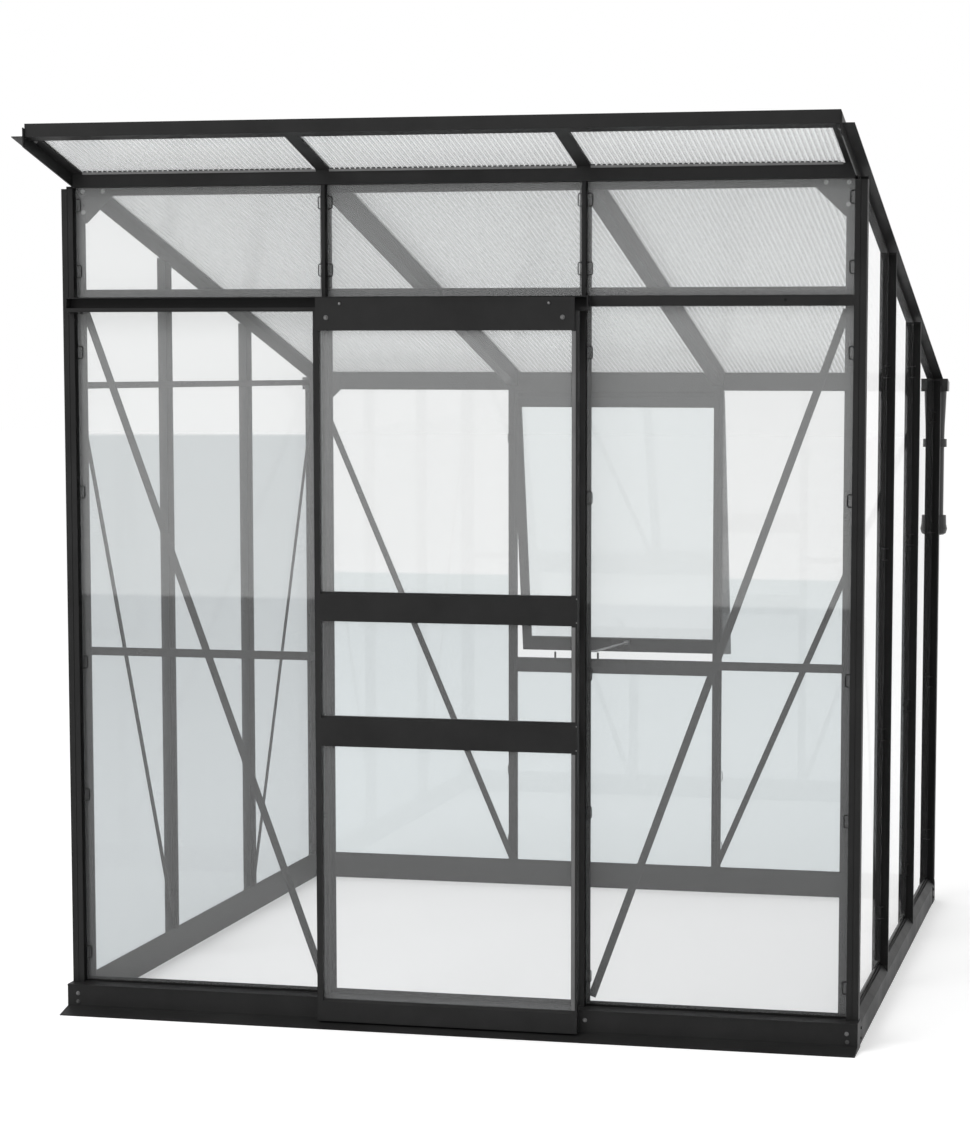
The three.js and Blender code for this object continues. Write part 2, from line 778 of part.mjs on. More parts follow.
function addRoof() {
  const rafterStart = gap - roofOverhang;
  const rafterEnd = wallDepth + eaveOverhang;
  const sheetEnd = wallDepth + sheetOverhang;
  const halfFin = rafterFinWidth / 2;
  const halfWeb = rafterWebWidth / 2;
  const halfBeam = beamWidth / 2;
  for (const [name, x] of [['rafter_left', -barX], ['rafter_right', barX]]) {
    const flange = rectangle(x - rafterFlangeWidth / 2, 0, x + rafterFlangeWidth / 2, shelfTop);
    const web = rectangle(x - halfWeb, shelfTop - fuse, x + halfWeb, rafterHeight);
    const webBore = rectangle(x - halfWeb + skin, shelfTop + skin, x + halfWeb - skin, rafterHeight - skin);
    const fin = rectangle(x - halfFin, finBottom, x + halfFin, finTop);
    const beam = rectangle(x - halfBeam, -beamDepth, x + halfBeam, fuse);
    const beamBore = rectangle(x - halfBeam + skin, skin - beamDepth, x + halfBeam - skin, -skin);
    const beamStart = flangeInner + gap;
    const fins = alongRoof(fin, rafterStart, rafterEnd)
      .subtract(alongRoof(webBore, rafterStart - cutOver, rafterEnd + cutOver));
    add(name, union(
      alongRoof(flange, rafterStart, rafterEnd),
      alongRoof(web, rafterStart, rafterEnd, [webBore]),
      fins,
      alongRoof(beam, beamStart, wallDepth - beamStart, [beamBore]),
    ), coating, greenhouse, rake);
  }

  for (const [name, hand] of [['verge_left', -1], ['verge_right', 1]]) {
    const x = (inset) => hand * (halfWidth - inset);
    const vergeFront = -roofOverhang - skin - vergeOverhang;
    const web = rectangle(x(seat), -vergeWebDrop, x(flangeInner), vergeWebTop);
    const wing = rectangle(x(-vergeWingTip), -vergeWingDrop - skin, x(seat + fuse), -vergeWingDrop);
    const shelf = rectangle(x(flangeInner - fuse), 0, x(flangeInner + vergeShelf), shelfTop);
    const fin = rectangle(x(flangeInner - fuse), finBottom, x(flangeInner + vergeFin), finTop);
    const tail = rectangle(x(seat), -vergeWingDrop - skin, x(flangeInner), vergeWebTop);
    add(name, union(
      alongRoof(web, vergeFront, wallDepth),
      alongRoof(wing, vergeFront, sheetEnd),
      alongRoof(tail, wallDepth - cutOver, sheetEnd),
      alongRoof(shelf, rafterStart, sheetEnd),
      alongRoof(fin, rafterStart, sheetEnd),
    ), coating, greenhouse, rake);
  }

  const fasciaBack = -roofOverhang;
  const fasciaFront = fasciaBack - skin;
  const lipTop = rafterHeight + gap + skin;
  const lowLip = -gap - fasciaDrop;
  const fascia = [
    [fasciaFront, lowLip - skin],
    [fasciaFront + fasciaLowLip, lowLip - skin],
    [fasciaFront + fasciaLowLip, lowLip],
    [fasciaBack, lowLip],
    [fasciaBack, lipTop - skin],
    [fasciaFront + fasciaTopLip, lipTop - skin],
    [fasciaFront + fasciaTopLip, lipTop],
    [fasciaFront, lipTop],
  ];
  const fasciaHalf = halfWidth - flangeInner - gap;
  add('fascia', prism('yzx', fascia, -fasciaHalf, fasciaHalf), coating, greenhouse, rake);

  const outerEdge = halfWidth - flangeInner - paneEase;
  const innerEdge = barX + halfWeb + paneEase;
  for (const [name, x0, x1] of [
    ['sheet_left', -outerEdge, -innerEdge],
    ['sheet_middle', halfWeb + paneEase - barX, barX - halfWeb - paneEase],
    ['sheet_right', innerEdge, outerEdge],
  ]) {
    const count = Math.max(1, Math.round((x1 - x0) / flutePitch));
    const pitch = (x1 - x0 - sheetSkin) / count;
    const low = sheetBottom + sheetSkin;
    const high = sheetBottom + sheetThickness - sheetSkin;
    const flutes = Array.from({ length: count }, (_, i) => alongRoof(
      rectangle(x0 + sheetSkin + i * pitch, low, x0 + (i + 1) * pitch, high),
      rafterStart - cutOver,
      sheetEnd + cutOver,
    ));
    const outline = rectangle(x0, sheetBottom, x1, sheetBottom + sheetThickness);
    const slab = alongRoof(outline, rafterStart, sheetEnd);
    const sheet = flutes.reduce((whole, flute) => whole.subtract(flute), slab);
    add(name, sheet, twinWall, greenhouse, rake);
  }
}

// Gutter with closed ends, and two hanging downpipes
function addGutter() {
  const back = wallDepth + gap;
  const top = gutterBottom + gutterFrontHeight;
  const front = back + gutterFloorWidth + gutterFlare;
  const backTop = gutterBottom + gutterBackHeight;
  const outer = [
    [back, backTop],
    [back, gutterBottom],
    [back + gutterFloorWidth, gutterBottom],
    [front, top],
  ];
  const section = [
    ...outer,
    [front - gutterLip, top],
    [front - gutterLip, top - skin],
    [front - skin - skin / 2, top - skin],
    [back + gutterFloorWidth - skin, gutterBottom + skin],
    [back + skin, gutterBottom + skin],
    [back + skin, backTop],
  ];
  const half = halfWidth + gutterEnd;
  const ends = [-1, 1].map((hand) => prism('yzx', outer, hand * (half - skin), hand * half));
  const y = wallDepth + pipeOut;
  const spouts = [-outletX, outletX].map((x) => prism(
    'xyz', circle(x, y, outletRadius + skin), gutterBottom - spoutLength, gutterBottom + skin,
  ));
  const bores = [-outletX, outletX].map((x) => prism(
    'xyz', circle(x, y, outletRadius), gutterBottom - spoutLength - cutOver, gutterBottom + cutOver,
  ));
  const body = union(prism('yzx', section, -half, half), ...ends, ...spouts);
  add('gutter', bores.reduce((whole, bore) => whole.subtract(bore), body), plastic);

  const pipeTop = gutterBottom - gap;
  const profile = (wall) => pipeShares.map(({ radiusShare, dropShare }) => (
    [radiusShare * pipeRadius - wall, pipeTop - dropShare * pipeLength]
  ));
  for (const [name, x] of [['downpipe_left', -outletX], ['downpipe_right', outletX]]) {
    const pipe = turning([...profile(0).reverse(), ...profile(pipeWall)]);
    add(name, pipe, plastic, greenhouse, new THREE.Matrix4().makeTranslation(x, y, 0));
  }
}

// Sliding door: track, leaf, hanger plate with axles, two grooved rollers
function addDoor() {
  const back = -gap;
  const ceiling = trackTop - trackSkin;
  const beadY = rollerY;
  const track = [
    [back, trackBottom],
    [back, trackTop],
    [trackFront, trackTop],
    [trackFront, ceiling],
    [back - trackSkin, ceiling],
    [back - trackSkin, trackFloor],
    [beadY + trackBeadWidth, trackFloor],
    [beadY + trackBeadWidth / 2, trackFloor + trackBeadHeight],
    [beadY - trackBeadWidth / 2, trackFloor + trackBeadHeight],
    [beadY - trackBeadWidth, trackFloor],
    [trackFront + trackSkin, trackFloor],
    [trackFront + trackSkin, trackBottom + trackFrontLip],
    [trackFront, trackBottom + trackFrontLip],
    [trackFront, trackBottom],
  ];
  const stop = rectangle(trackFront, trackBottom, back, trackTop);
  add('door_track', union(
    prism('yzx', track, trackLeft, trackRight),
    prism('yzx', stop, trackLeft, trackLeft + trackStop),
    prism('yzx', stop, trackRight - trackStop, trackRight),
  ), coating);

  const leafTop = trackBottom;
  const rails = [
    [doorFloorGap, doorFloorGap + doorBottomRail],
    [doorLowerRailBottom, doorLowerRailBottom + doorLowerRail],
    [doorUpperRailBottom, doorUpperRailBottom + doorUpperRail],
    [leafTop - doorTopRail, leafTop],
  ];
  const lights = rails.slice(1).map(([high], i) => (
    { x0: doorLeft + doorStile, x1: doorRight - doorStile, z0: rails[i][1], z1: high }
  ));
  const paneFront = doorFront + paneSetback;
  const leafOutline = rectangle(doorLeft, doorFloorGap, doorRight, leafTop);
  const grooves = lights.map(({ x0, x1, z0, z1 }) => block(
    x0 - grooveDepth, paneFront - grooveEase, z0 - grooveDepth,
    x1 + grooveDepth, paneFront + glassThickness + grooveEase, z1 + grooveDepth,
  ));
  const bevels = rails.slice(0, -1).map(([, high]) => prism('yzx', [
    [doorFront - cutOver, high - doorRailBevel - cutOver],
    [doorFront - cutOver, high + fuse],
    [doorFront + doorRailBevel + fuse, high + fuse],
  ], doorLeft + doorStile, doorRight - doorStile));
  const leaf = prism('xzy', leafOutline, doorFront, doorBack, lights.map(({ x0, x1, z0, z1 }) => (
    rectangle(x0, z0, x1, z1)
  )));
  add('door_frame', [...grooves, ...bevels].reduce((whole, cut) => whole.subtract(cut), leaf), coating);
  lights.forEach(({ x0, x1, z0, z1 }, i) => {
    const lap = grooveDepth - paneEase;
    const outline = rectangle(x0 - lap, z0 - lap, x1 + lap, z1 + lap);
    add(`door_pane_${i + 1}`, prism('xzy', outline, paneFront, paneFront + glassThickness), glass);
  });

  const plateBack = doorFront - gap;
  const plateFront = plateBack - hangerThickness;
  const plateBottom = leafTop - hangerBottomDrop;
  const rollerFront = rollerY - rollerWidth / 2;
  const rollerBack = rollerY + rollerWidth / 2;
  const rollerXs = [doorLeft + rollerInset, doorRight - rollerInset];
  const axles = rollerXs.map((x) => union(
    prism('xzy', circle(x, rollerZ, axleShoulder), plateBack - fuse, rollerFront - axleEase),
    prism('xzy', circle(x, rollerZ, axleRadius), rollerFront - axleShoulder, rollerBack + axleShoulder),
    prism('xzy', circle(x, rollerZ, axleHead), rollerBack + axleEase, rollerBack + axleEase + axleHeadThickness),
  ));
  const trimmed = axles.map((axle) => axle.subtract(block(
    doorLeft, rollerBack + axleEase + axleHeadThickness, trackBottom, doorRight, 0, trackTop,
  )));
  const plate = rectangle(doorLeft + hangerEdge, plateBottom, doorRight - hangerEdge, plateBottom + hangerHeight);
  add('door_hanger', union(prism('xzy', plate, plateFront, plateBack), ...trimmed), coating);

  const bore = axleRadius + axleEase;
  const half = rollerWidth / 2;
  const wheel = [
    [bore, -half],
    [rollerRadius, -half],
    [rollerRadius, -trackBeadWidth - fuse],
    [rollerRadius - rollerGroove, -trackBeadWidth / 2],
    [rollerRadius - rollerGroove, trackBeadWidth / 2],
    [rollerRadius, trackBeadWidth + fuse],
    [rollerRadius, half],
    [bore, half],
  ];
  rollerXs.forEach((x, i) => {
    const placing = new THREE.Matrix4().makeTranslation(x, rollerY, rollerZ);
    add(i === 0 ? 'roller_left' : 'roller_right', turning(wheel, true), nylon, greenhouse, placing);
  });
}

// Top-hung window: drawn hanging straight down from its hinge line, then swung open
function addWindow() {
  const swing = new THREE.Group();
  swing.position.set(0, hingeY, hingeZ);
  swing.rotation.x = THREE.MathUtils.degToRad(sashOpenDegrees);
  greenhouse.add(swing);

  const halfThick = sashThickness / 2;
  const half = sashHalfWidth;
  const light = { x: half - sashStile, low: sashBottomRail - sashLength, high: -sashTopDrop - sashTopRail };
  const outline = rectangle(-half, -sashLength, half, -sashTopDrop);
  const frame = prism('xzy', outline, -halfThick, halfThick, [rectangle(-light.x, light.low, light.x, light.high)]);
  const halfPane = glassThickness / 2;
  const groove = block(
    -light.x - grooveDepth, -halfPane - grooveEase, light.low - grooveDepth,
    light.x + grooveDepth, halfPane + grooveEase, light.high + grooveDepth,
  );
  const bead = prism('yzx', circle(0, 0, beadRadius), gap - half, half - gap);
  const neck = rectangle(-neckThickness / 2, -sashTopDrop - fuse, neckThickness / 2, 0);
  const pivotZ = stayRise - sashLength;
  const pivotY = -halfThick - stayOut;
  const lug = [
    ...arc(pivotY, pivotZ, lugRadius, 90, 270),
    [fuse - halfThick, pivotZ - lugRadius],
    [fuse - halfThick, pivotZ + lugRadius],
  ];
  const inside = stayWidth / 2 + gap;
  const lugs = [-1, 1].map((hand) => (
    prism('yzx', lug, stayX + hand * inside, stayX + hand * (inside + lugThickness))
  ));
  const pin = prism('yzx', circle(pivotY, pivotZ, pegRadius), stayX - inside - fuse, stayX + inside + fuse);
  add('sash_frame', union(
    frame.subtract(groove),
    bead,
    prism('yzx', neck, gap - half, half - gap),
    ...lugs,
    pin,
  ), coating, swing);
  const lap = grooveDepth - paneEase;
  const paneOutline = rectangle(-light.x - lap, light.low - lap, light.x + lap, light.high + lap);
  add('sash_pane', prism('xzy', paneOutline, -halfPane, halfPane), glass, swing);

  swing.updateMatrixWorld(true);
  const pivot = swing.localToWorld(new THREE.Vector3(stayX, pivotY, pivotZ));
  const pegTop = windowRailTop + pegHeight;
  const target = new THREE.Vector3(nearPegX, wallDepth - pegInset, pegTop + stayClearance + stayThickness / 2);
  const reach = target.clone().sub(pivot);
  const run = Math.hypot(reach.y, reach.z);
  const stay = new THREE.Group();
  stay.position.copy(pivot);
  stay.rotation.x = Math.asin(-reach.z / run);
  greenhouse.add(stay);

  const end = new THREE.Vector2(reach.x, -run);
  const along = end.clone().normalize();
  const bend = end.clone().addScaledVector(along, stayBend);
  const tail = bend.clone().add(new THREE.Vector2(-stayTail, 0));
  const strip = (p, q) => {
    const way = q.clone().sub(p).normalize().multiplyScalar(stayWidth / 2);
    const across = new THREE.Vector2(-way.y, way.x);
    return [p.clone().add(across), q.clone().add(across), q.clone().sub(across), p.clone().sub(across)]
      .map((point) => [point.x, point.y]);
  };
  const flat = (points) => prism('xyz', points, -stayThickness / 2, stayThickness / 2);
  const holes = Array.from({ length: stayHoles }, (_, i) => {
    const centre = end.clone().addScaledVector(along, -i * stayHolePitch);
    return prism('xyz', circle(centre.x, centre.y, stayHoleRadius), -stayThickness, stayThickness);
  });
  const arm = union(
    flat(strip(new THREE.Vector2(0, 0), bend)),
    flat(circle(bend.x, bend.y, stayWidth / 2)),
    flat(strip(bend, tail)),
  );
  const knuckle = prism('yzx', circle(0, 0, knuckleRadius), -stayWidth / 2, stayWidth / 2);
  const knuckleBore = prism('yzx', circle(0, 0, knuckleHole), -stayWidth, stayWidth);
  const nearPivot = -lugRadius - fuse;
  const besideKnuckle = [-1, 1].map((hand) => prism('xyz', rectangle(
    hand * (stayWidth / 2), nearPivot, hand * (stayWidth + stayWidth), stayWidth,
  ), -knuckleRadius, knuckleRadius));
  const trimmed = [knuckleBore, ...besideKnuckle].reduce((whole, cut) => whole.subtract(cut), union(arm, knuckle));
  add('window_stay', holes.reduce((whole, hole) => whole.subtract(hole), trimmed), steel, stay);
}

// Glass, standing on the base rails between the ribs of the bars
function addPanes() {
  const low = sillHeight + gap;
  const bayEdge = barX + halfRib + paneEase;
  const outerEdge = halfWidth - postSize - paneEase;
  const middleEdge = barX - halfRib - paneEase;
  const lightLow = transomTop + gap;
  const lightHigh = headerBottom - gap;
  const frontPanes = [
    ['pane_front_left', -outerEdge, low, -bayEdge, transomBottom - gap],
    ['pane_front_right', bayEdge, low, outerEdge, transomBottom - gap],
    ['pane_transom_left', -outerEdge, lightLow, -bayEdge, lightHigh],
    ['pane_transom_middle', -middleEdge, lightLow, middleEdge, lightHigh],
    ['pane_transom_right', bayEdge, lightLow, outerEdge, lightHigh],
  ];
  const rearPanes = [
    ['pane_rear_left', -outerEdge, low, -bayEdge, eaveBottom - gap],
    ['pane_rear_middle', -middleEdge, low, middleEdge, windowRailBottom - gap],
    ['pane_rear_right', bayEdge, low, outerEdge, eaveBottom - gap],
  ];
  for (const [wall, panes] of [[walls.front, frontPanes], [walls.rear, rearPanes]]) {
    for (const [name, ...corners] of panes) {
      add(name, panel(wall, rectangle(...corners), glassFront, glassBack), glass);
    }
  }
  const sideEdges = Array.from({ length: sideBays }, (_, i) => [
    i === 0 ? postSize + paneEase : i * sidePitch + halfRib + paneEase,
    i === sideBays - 1 ? wallDepth - postSize - paneEase : (i + 1) * sidePitch - halfRib - paneEase,
  ]);
  for (const side of ['left', 'right']) {
    sideEdges.forEach(([u0, u1], i) => {
      const outline = [[u0, low], [u1, low], [u1, roofAt(u1, -sideGlassDrop)], [u0, roofAt(u0, -sideGlassDrop)]];
      add(`pane_${side}_${i + 1}`, panel(walls[side], outline, glassFront, glassBack), glass);
    });
  }
}

addBases();
addPosts();
addFrontWall();
addSideWalls();
addRearWall();
addRoof();
addGutter();
addDoor();
addWindow();
addPanes();

// The origin ends up on the ground under the centre of the whole outline.
greenhouse.updateMatrixWorld(true);
const outlineCentre = new THREE.Box3().setFromObject(greenhouse, true).getCenter(new THREE.Vector3());
greenhouse.position.set(-outlineCentre.x, -outlineCentre.y, 0);

export default greenhouse;
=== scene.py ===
import json
import math

import bmesh
import bpy
from mathutils import Matrix, Vector


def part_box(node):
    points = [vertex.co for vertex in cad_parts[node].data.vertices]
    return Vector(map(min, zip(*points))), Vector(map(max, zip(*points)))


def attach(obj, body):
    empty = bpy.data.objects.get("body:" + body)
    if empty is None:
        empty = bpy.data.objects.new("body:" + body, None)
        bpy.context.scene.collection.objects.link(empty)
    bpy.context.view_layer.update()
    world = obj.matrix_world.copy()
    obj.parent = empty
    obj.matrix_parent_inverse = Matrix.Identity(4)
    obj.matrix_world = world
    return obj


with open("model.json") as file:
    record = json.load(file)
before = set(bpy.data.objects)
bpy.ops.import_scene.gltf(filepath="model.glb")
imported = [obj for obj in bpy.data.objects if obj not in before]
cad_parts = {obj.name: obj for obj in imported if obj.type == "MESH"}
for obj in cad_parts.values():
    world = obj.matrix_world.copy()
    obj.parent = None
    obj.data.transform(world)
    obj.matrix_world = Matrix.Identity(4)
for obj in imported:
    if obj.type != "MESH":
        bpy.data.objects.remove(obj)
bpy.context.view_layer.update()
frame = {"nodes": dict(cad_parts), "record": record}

# Key places of the frame. All lengths are in metres.
post_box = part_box("post_front_left")
mullion_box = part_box("mullion_right")
LEFT = post_box[0][0]
RIGHT = -LEFT
FRONT = post_box[0][1]
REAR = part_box("post_rear_left")[1][1]
BAR_X = (mullion_box[0][0] + mullion_box[1][0]) / 2
SIDE_BAYS = 3
BAY_Y = (REAR - FRONT) / SIDE_BAYS
RIB_HALF = 0.0045
POST_EDGE = 0.028
DOOR_STILE = 0.014
SILL_FACE = 0.030
SILL_TOP = 0.066
TRANSOM_TOP = 1.742
EAVES_BOTTOM = 1.4995

# Depths inward from the outer face of a wall
GLASS_FACE = 0.0203
FLANGE_FACE = 0.0236

# The roof's slope, and rises and drops from the rafters' underside
ROOF_SLOPE = 0.251
ROOF_HEIGHT = 2.016
SHEET_BOTTOM = 0.0033
RAFTER_TOP = 0.0222
VERGE_FIN_TOP = 0.0116
VERGE_FIN_INSET = 0.0356
VERGE_WEB_DROP = -0.0297
VERGE_WEB_INSET = 0.0251
FLUTE_PITCH = 0.0126

# Shared by many pieces
EPS = 0.0002
HANDS = (-1, 1)
TOWARD = (0, -1, 0)
UP = (0, 0, 1)
DOWN = (0, 0, -1)


def roof_z(y, rise=0.0):
    """Height of the rafters' underside at y, plus a rise."""
    return ROOF_HEIGHT - ROOF_SLOPE * (y - FRONT) + rise


# Camera
CAMERA_PLACE = Vector((1.70218, FRONT - 6.38276, 1.55309))
CAMERA_YAW = math.radians(12.369)
CAMERA_PITCH = math.radians(-5.515)
CAMERA_ROLL = math.radians(-0.103)
CAMERA_SENSOR = 36.0
CAMERA_LENS = 90.03
CAMERA_SHIFT = (-0.0832, 0.0681)
CAMERA_REACH = 100.0


def add_camera():
    data = bpy.data.cameras.new("camera")
    data.sensor_width = CAMERA_SENSOR
    data.lens = CAMERA_LENS
    data.shift_x, data.shift_y = CAMERA_SHIFT
    data.clip_end = CAMERA_REACH
    turn = (
        Matrix.Rotation(CAMERA_YAW, 3, "Z")
        @ Matrix.Rotation(CAMERA_PITCH, 3, "X")
        @ Matrix.Rotation(CAMERA_ROLL, 3, "Y")
    )
    right, ahead, up = (turn.col[i].copy() for i in range(3))
    pose = Matrix((right, up, -ahead)).transposed().to_4x4()
    pose.translation = CAMERA_PLACE
    camera = bpy.data.objects.new("camera", data)
    camera.matrix_world = pose
    bpy.context.scene.collection.objects.link(camera)
    bpy.context.scene.camera = camera


# Materials
class Nodes:
    """A short way to build a node material around one Principled shader."""

    def __init__(self, name):
        self.material = bpy.data.materials.new(name)
        self.material.use_nodes = True
        self.tree = self.material.node_tree
        self.shader = self.tree.nodes["Principled BSDF"]
        self.output = self.tree.nodes["Material Output"]

    def add(self, kind, **values):
        node = self.tree.nodes.new(kind)
        for key, value in values.items():
            setattr(node, key, value)
        return node

    def link(self, start, end):
        self.tree.links.new(start, end)

    def feed(self, socket, value):
        """Links a value to one of the shader's sockets."""
        self.link(value, self.shader.inputs[socket])

    def set(self, **values):
        """Sets plain values on the shader's sockets, with _ for a space in their names."""
        for key, value in values.items():
            self.shader.inputs[key.replace("_", " ")].default_value = value

    def coordinates(self, scale=(1.0, 1.0, 1.0)):
        place = self.add("ShaderNodeTexCoord")
        mapping = self.add("ShaderNodeMapping")
        mapping.inputs["Scale"].default_value = scale
        self.link(place.outputs["Object"], mapping.inputs["Vector"])
        return mapping.outputs["Vector"]

    def axis(self, name):
        """The object coordinate along one axis."""
        split = self.add("ShaderNodeSeparateXYZ")
        self.link(self.coordinates(), split.inputs[0])
        return split.outputs[name]

    def math(self, operation, first, second=0.0):
        node = self.add("ShaderNodeMath", operation=operation)
        for socket, value in zip(node.inputs, (first, second)):
            if isinstance(value, float):
                socket.default_value = value
            else:
                self.link(value, socket)
        return node.outputs[0]

    def noise(self, scale, detail=4.0, roughness=0.55, stretch=(1.0, 1.0, 1.0)):
        noise = self.add("ShaderNodeTexNoise")
        noise.inputs["Scale"].default_value = scale
        noise.inputs["Detail"].default_value = detail
        noise.inputs["Roughness"].default_value = roughness
        self.link(self.coordinates(stretch), noise.inputs["Vector"])
        return noise.outputs["Fac"]

    def stops(self, value, *stops):
        """A ramp through (position, colour) stops."""
        node = self.add("ShaderNodeValToRGB")
        ramp = node.color_ramp
        while len(ramp.elements) < len(stops):
            ramp.elements.new(0.5)
        for element, (position, colour) in zip(ramp.elements, stops):
            element.position = position
            element.color = (*colour, 1.0)
        self.link(value, node.inputs["Fac"])
        return node.outputs["Color"]

    def ramp(self, value, low, high, start=0.3, end=0.7):
        return self.stops(value, (start, low), (end, high))

    def bump(self, value, strength, distance):
        bump = self.add("ShaderNodeBump")
        bump.inputs["Strength"].default_value = strength
        bump.inputs["Distance"].default_value = distance
        self.link(value, bump.inputs["Height"])
        return bump.outputs["Normal"]


def grey(value):
    return (value, value, value)


def shade(colour, share):
    return tuple(channel * share for channel in colour)


def powder_coat(name, tone, roughness=0.42, gloss=0.08):
    """Black powder coating: a fine orange-peel surface with faint dust."""
    m = Nodes(name)
    peel = m.noise(scale=900.0, detail=2.0)
    dust = m.noise(scale=6.0, detail=6.0, roughness=0.65)
    m.feed("Base Color", m.ramp(dust, grey(tone * 0.85), grey(tone * 1.25)))
    m.feed("Roughness", m.ramp(dust, grey(roughness - 0.05), grey(roughness + 0.1)))
    m.feed("Normal", m.bump(peel, strength=0.25, distance=0.0002))
    m.set(Metallic=0.0, IOR=1.5, Specular_IOR_Level=gloss)
    return m.material


def moulded_plastic(name, colour, roughness, grain, gloss=0.4):
    """Plastic or rubber with a fine grain and faintly clouded."""
    m = Nodes(name)
    fine = m.noise(scale=grain, detail=3.0)
    cloud = m.noise(scale=14.0, detail=3.0)
    m.feed("Base Color", m.ramp(cloud, shade(colour, 0.9), shade(colour, 1.12)))
    m.feed("Roughness", m.ramp(cloud, grey(roughness - 0.06), grey(roughness + 0.06)))
    m.feed("Normal", m.bump(fine, strength=0.2, distance=0.0002))
    m.set(Specular_IOR_Level=gloss)
    return m.material


def bright_metal(name, colour, roughness):
    """Bare metal, brushed along its height."""
    m = Nodes(name)
    brushed = m.noise(scale=400.0, detail=3.0, stretch=(1.0, 1.0, 0.1))
    m.feed("Base Color", m.ramp(brushed, shade(colour, 0.85), colour))
    m.feed("Roughness", m.ramp(brushed, grey(roughness - 0.08), grey(roughness + 0.08)))
    m.feed("Normal", m.bump(brushed, strength=0.1, distance=0.0001))
    m.set(Metallic=1.0)
    return m.material


def let_light_through(m, tint):
    """Shadow and diffuse rays pass straight through, so the inside is lit as through thin glass."""
    light = m.add("ShaderNodeLightPath")
    either = m.math("MAXIMUM", light.outputs["Is Shadow Ray"], light.outputs["Is Diffuse Ray"])
    clear = m.add("ShaderNodeBsdfTransparent")
    clear.inputs["Color"].default_value = (*tint, 1.0)
    mix = m.add("ShaderNodeMixShader")
    m.link(either, mix.inputs["Fac"])
    m.link(m.shader.outputs["BSDF"], mix.inputs[1])
    m.link(clear.outputs["BSDF"], mix.inputs[2])
    m.link(mix.outputs["Shader"], m.output.inputs["Surface"])


REFLECTED_HORIZON_BLUR = 0.002


def window_glass(name, low, high, line=1.013, tilt=0.0, ior=1.3, ripple=0.02, coat=0.0):
    """Horticultural glass with a white haze that is a painted reflection of a bright room. Below
    and above a line across the pane it has the tone and the clearness of low and high; the line is
    a painted reflection of the room's horizon. The line climbs by tilt for each metre to the back.
    The ripple is the strength of its waviness and smears, less on panes that are seen edge on."""
    m = Nodes(name)
    smear = m.noise(scale=3.0, detail=5.0, roughness=0.6)
    wave = m.noise(scale=1.4, detail=1.0)
    # Painted reflection: tone and clearness change across a line that stands for the reflected
    # horizon of a room
    height = m.math("SUBTRACT", m.axis("Z"), m.math("MULTIPLY", m.axis("Y"), tilt))
    over_reflected_horizon = m.math("SUBTRACT", height, line - 0.5)
    share = m.ramp(over_reflected_horizon, grey(0.0), grey(1.0), start=0.5 - REFLECTED_HORIZON_BLUR, end=0.5 + REFLECTED_HORIZON_BLUR)
    (low_tone, low_clearness), (high_tone, high_clearness) = low, high
    m.feed("Base Color", m.ramp(share, low_tone, high_tone, start=0.0, end=1.0))
    m.feed("Transmission Weight", m.ramp(
        share, grey(low_clearness), grey(high_clearness), start=0.0, end=1.0))
    m.feed("Roughness", m.ramp(smear, grey(0.0), grey(ripple), start=0.5, end=0.9))
    m.feed("Normal", m.bump(wave, strength=ripple, distance=0.002))
    m.set(IOR=ior, Coat_Weight=coat, Coat_Roughness=0.0)
    let_light_through(m, grey(0.97))
    return m.material


SHEET_TONE = (0.66, 0.72, 0.73)
# A painted highlight and a painted shade along the sheets' webs
WEB_PAINTED_HIGHLIGHT = grey(0.95)
WEB_PAINTED_SHADE = grey(0.36)

# Across one flute of a sheet: the place, and the tone and the cover there. The light stops are a
# painted highlight along each web, the dark stops a painted shade beside it
FLUTE = (
    (0.0, WEB_PAINTED_HIGHLIGHT, 0.36),
    (0.12, WEB_PAINTED_HIGHLIGHT, 0.36),
    (0.2, SHEET_TONE, 0.14),
    (0.72, SHEET_TONE, 0.14),
    (0.78, WEB_PAINTED_SHADE, 0.28),
    (0.92, WEB_PAINTED_SHADE, 0.28),
    (0.98, WEB_PAINTED_HIGHLIGHT, 0.36),
)


def twin_wall(name, node):
    """Clear ribbed sheet: glossy skins, with a painted highlight line and a painted shade line
    along each of its webs.
    """
    m = Nodes(name)
    low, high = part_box(node)
    left, width = low[0], high[0] - low[0]
    pitch = width / round(width / FLUTE_PITCH)
    place = m.math("FRACT", m.math("DIVIDE", m.math("SUBTRACT", m.axis("X"), left), pitch))
    # Painted highlight and painted shade lines across each flute
    painted_web_lines = m.stops(place, *((at, tone) for at, tone, cover in FLUTE))
    m.feed("Base Color", painted_web_lines)
    m.feed("Alpha", m.stops(place, *((at, grey(cover)) for at, tone, cover in FLUTE)))
    m.feed("Normal", m.bump(painted_web_lines, strength=0.3, distance=0.0004))
    m.set(Roughness=0.22, IOR=1.5)
    let_light_through(m, grey(0.95))
    return m.material


WINDOW_TONE = (0.865, 0.90, 0.907)
CLEAR_TONE = grey(1.0)

MATERIALS = {
    "black_coating": powder_coat("powder_coat", 0.018),
    "dark_steel": powder_coat("steel_coat", 0.020, roughness=0.34),
    "black_plastic": moulded_plastic("drain_plastic", grey(0.012), roughness=0.36, grain=500.0),
    "nylon": moulded_plastic("roller_nylon", (0.26, 0.26, 0.25), roughness=0.4, grain=700.0),
    # The front glass's haze, and its paler, hazier zone above the line, are painted reflection
    "clear_glass": window_glass(
        "glass_front", ((0.79, 0.80, 0.805), 0.95), ((0.85, 0.86, 0.86), 0.89), ripple=0.001),
}

